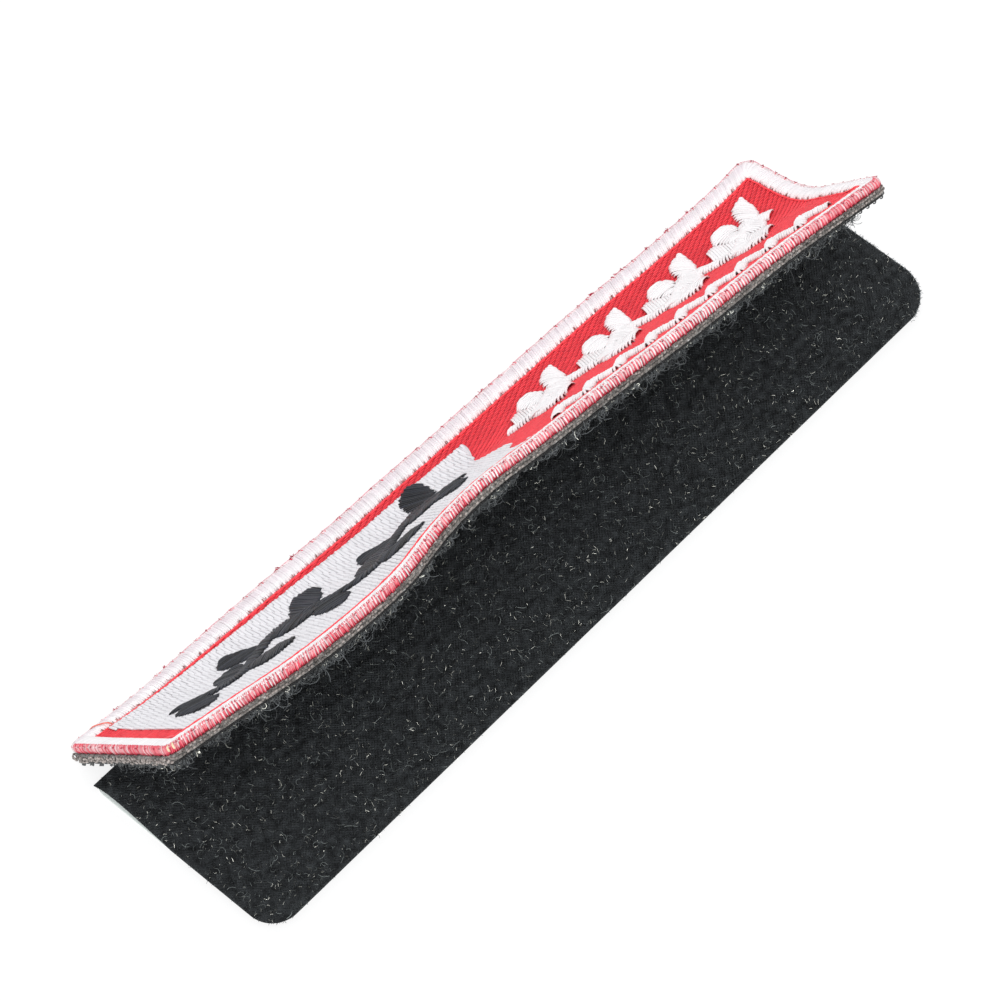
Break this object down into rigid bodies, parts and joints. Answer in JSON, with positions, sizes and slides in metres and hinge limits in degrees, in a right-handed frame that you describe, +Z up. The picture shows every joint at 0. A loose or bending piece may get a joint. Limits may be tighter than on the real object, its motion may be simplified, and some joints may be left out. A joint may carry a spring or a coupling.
{
  "type": "embroidered patch on its loop panel",
  "caption": "Oblong embroidered patch with a stitched border and hook backing, half peeled up from the loop-pile panel it fastens to.",
  "frame": {"origin": "centre of the loop panel's underside", "axes": "+X along the panel toward the patch's right end, +Y toward the long edge where the patch still holds on, +Z up from the panel's pile"},
  "size_m": [0.1304, 0.0373, 0.0272],
  "materials": {
    "loop_pile": "black brushed nylon loop pile with pale fibre ends",
    "release_film": "thin satin film",
    "hook_tape": "black woven nylon tape with moulded hooks",
    "glued_backing": "grey cloth soaked with clear glue, with small glints",
    "red_twill": "polyester diagonal twill",
    "white_thread": "glossy rayon satin stitch",
    "white_fill": "rayon fill stitch in rows",
    "black_thread": "charcoal rayon satin stitch"
  },
  "bodies": {
    "root": {"loop_panel": "loop_pile", "panel_film": "release_film", "hook_tape": "hook_tape", "backing_layer": "glued_backing", "twill_ground": "red_twill", "stitched_border": "white_thread", "white_field": "white_fill", "black_branch": "black_thread", "white_garland": "white_thread", "white_zigzag": "white_thread"}
  },
  "joints": []
}
